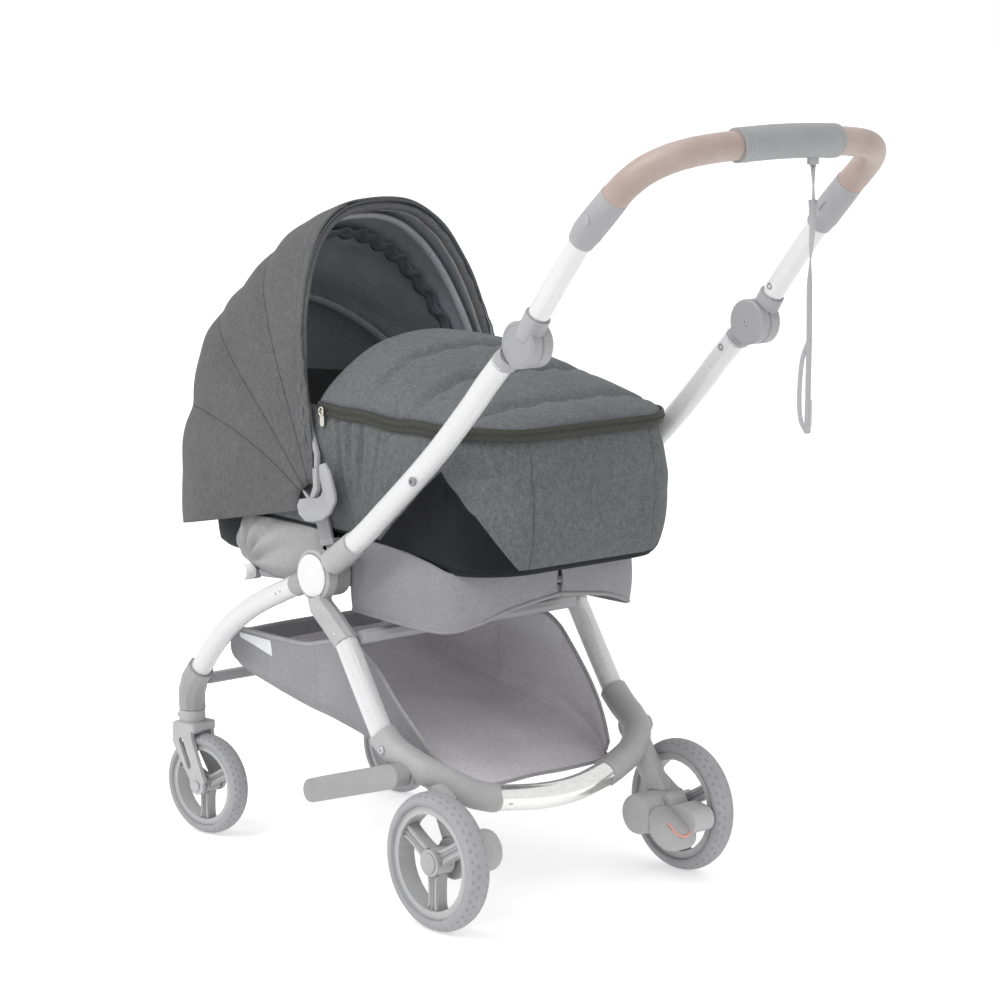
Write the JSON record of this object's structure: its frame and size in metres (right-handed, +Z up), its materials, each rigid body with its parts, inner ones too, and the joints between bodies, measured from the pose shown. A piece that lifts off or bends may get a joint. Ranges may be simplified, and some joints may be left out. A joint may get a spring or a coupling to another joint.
{
  "type": "baby stroller",
  "caption": "Folding baby stroller with a newborn pack under a hood, a shopping basket, a leather covered U handle, swivelling front casters and braked rear wheels.",
  "frame": {"origin": "centre of the overall box on the floor, under the wheels", "axes": "+Z up, +Y towards the push handle, +X the stroller's left side"},
  "size_m": [0.4656, 1.1456, 1.03],
  "materials": {
    "aluminium_tube": "satin anodised",
    "crossbar_chrome": "polished",
    "grey_plastic": "fine moulded grain",
    "white_cover": "smooth",
    "steel": "plain",
    "tyre": "matt foam tyre",
    "leather": "stitched leatherette",
    "grip_foam": "ribbed",
    "melange_fabric": "charcoal melange twill",
    "black_fabric": "plain weave",
    "pale_fabric": "plain weave",
    "basket_fabric": "plain weave"
  },
  "bodies": {
    "rear_frame": {"rear_leg_left": "aluminium_tube", "rear_leg_right": "aluminium_tube", "corner_moulding_left": "grey_plastic", "corner_moulding_right": "grey_plastic", "rear_crossbar": "crossbar_chrome", "hub_housing_left": "grey_plastic", "hub_housing_right": "grey_plastic", "hub_cover_left": "white_cover", "hub_cover_right": "white_cover", "cross_tube": "grey_plastic", "brake_housing_left": "grey_plastic", "brake_housing_right": "grey_plastic", "seat_frame": "aluminium_tube", "seat_hammock": "pale_fabric", "pack_base": "black_fabric", "mattress": "pale_fabric", "cocoon_body": "melange_fabric", "cocoon_cover": "melange_fabric", "basket": "basket_fabric", "hood_shell": "melange_fabric", "hood_bracket_left": "grey_plastic", "hood_bracket_right": "grey_plastic"},
    "push_frame": {"push_tube_left": "aluminium_tube", "push_tube_right": "aluminium_tube", "elbow_lower_left": "grey_plastic", "elbow_lower_right": "grey_plastic"},
    "upper_handle": {"elbow_upper_left": "grey_plastic", "elbow_upper_right": "grey_plastic", "handle_tube_left": "aluminium_tube", "handle_tube_right": "aluminium_tube", "handle_sleeve_left": "grey_plastic", "handle_sleeve_right": "grey_plastic", "leather_grip_left": "leather", "leather_grip_right": "leather", "centre_grip": "grip_foam", "wrist_strap": "black_fabric"},
    "front_frame": {"front_leg_left": "aluminium_tube", "front_leg_right": "aluminium_tube", "caster_housing_left": "grey_plastic", "caster_housing_right": "grey_plastic", "front_crossbar": "grey_plastic"},
    "brake_pedal": {"brake_pedal": "grey_plastic"},
    "stand_lever": {"stand_lever": "grey_plastic"},
    "hood_rim": {"hood_rim_bow": "grey_plastic"},
    "hood_middle": {"hood_mid_bow": "steel"},
    "zip_puller": {"zip_puller": "steel"},
    "release_button_left": {"release_button_left": "grey_plastic"},
    "caster_left": {"caster_fork_left": "grey_plastic", "front_axle_left": "steel"},
    "front_wheel_left": {"front_rim_left": "grey_plastic", "front_tyre_left": "tyre"},
    "rear_wheel_left": {"rear_rim_left": "grey_plastic", "rear_tyre_left": "tyre"},
    "release_button_right": {"release_button_right": "grey_plastic"},
    "caster_right": {"caster_fork_right": "grey_plastic", "front_axle_right": "steel"},
    "front_wheel_right": {"front_rim_right": "grey_plastic", "front_tyre_right": "tyre"},
    "rear_wheel_right": {"rear_rim_right": "grey_plastic", "rear_tyre_right": "tyre"}
  },
  "joints": [
    {"name": "frame_fold", "type": "hinge", "parent": "rear_frame", "child": "push_frame", "pos_m": [0, -0.09525, 0.4176], "axis": [1, 0, 0], "range_deg": [-55, 0]},
    {"name": "front_fold", "type": "hinge", "parent": "rear_frame", "child": "front_frame", "pos_m": [0, -0.09525, 0.4176], "axis": [1, 0, 0], "range_deg": [0, 39.6]},
    {"name": "handle_fold", "type": "hinge", "parent": "push_frame", "child": "upper_handle", "pos_m": [0, 0.31385, 0.762], "axis": [1, 0, 0], "range_deg": [0, 90]},
    {"name": "hood_fold", "type": "hinge", "parent": "rear_frame", "child": "hood_rim", "pos_m": [0, -0.12915, 0.499], "axis": [1, 0, 0], "range_deg": [0, 55], "deforming": ["hood_shell"]},
    {"name": "hood_mid_fold", "type": "hinge", "parent": "rear_frame", "child": "hood_middle", "pos_m": [0, -0.12915, 0.499], "axis": [1, 0, 0], "range_deg": [0, 27.5]},
    {"name": "brake_press", "type": "hinge", "parent": "rear_frame", "child": "brake_pedal", "pos_m": [-0.1776, 0.17205, 0.09], "axis": [1, 0, 0], "range_deg": [-14, 0]},
    {"name": "stand_swing", "type": "hinge", "parent": "rear_frame", "child": "stand_lever", "pos_m": [0.2203, 0.09385, 0.187], "axis": [1, 0, 0], "range_deg": [0, 35]},
    {"name": "zip_pull", "type": "hinge", "parent": "rear_frame", "child": "zip_puller", "pos_m": [0.1695, -0.12215, 0.6315], "axis": [1, 0, 0], "range_deg": [-40, 40]},
    {"name": "button_press_left", "type": "slide", "parent": "upper_handle", "child": "release_button_left", "axis": [-1, 0, 0], "range_m": [0, 0.0025], "stiffness_N_per_m": 300},
    {"name": "caster_swivel_left", "type": "hinge", "parent": "front_frame", "child": "caster_left", "pos_m": [0.175, -0.41665, 0.16], "axis": [0, 0, 1], "continuous": true},
    {"name": "front_wheel_spin_left", "type": "hinge", "parent": "caster_left", "child": "front_wheel_left", "pos_m": [0.17046, -0.387, 0.071], "axis": [0.9885, 0.1513, 0], "continuous": true},
    {"name": "rear_wheel_spin_left", "type": "hinge", "parent": "rear_frame", "child": "rear_wheel_left", "pos_m": [0.2158, 0.17205, 0.09], "axis": [1, 0, 0], "continuous": true},
    {"name": "button_press_right", "type": "slide", "parent": "upper_handle", "child": "release_button_right", "axis": [1, 0, 0], "range_m": [0, 0.0025], "stiffness_N_per_m": 300},
    {"name": "caster_swivel_right", "type": "hinge", "parent": "front_frame", "child": "caster_right", "pos_m": [-0.175, -0.41665, 0.16], "axis": [0, 0, 1], "continuous": true},
    {"name": "front_wheel_spin_right", "type": "hinge", "parent": "caster_right", "child": "front_wheel_right", "pos_m": [-0.175, -0.38665, 0.071], "axis": [1, 0, 0], "continuous": true},
    {"name": "rear_wheel_spin_right", "type": "hinge", "parent": "rear_frame", "child": "rear_wheel_right", "pos_m": [-0.2158, 0.17205, 0.09], "axis": [1, 0, 0], "continuous": true}
  ],
  "couplings": [
    {"joint": "front_fold", "follows": "frame_fold", "ratio": -0.72},
    {"joint": "hood_mid_fold", "follows": "hood_fold", "ratio": 0.5}
  ]
}
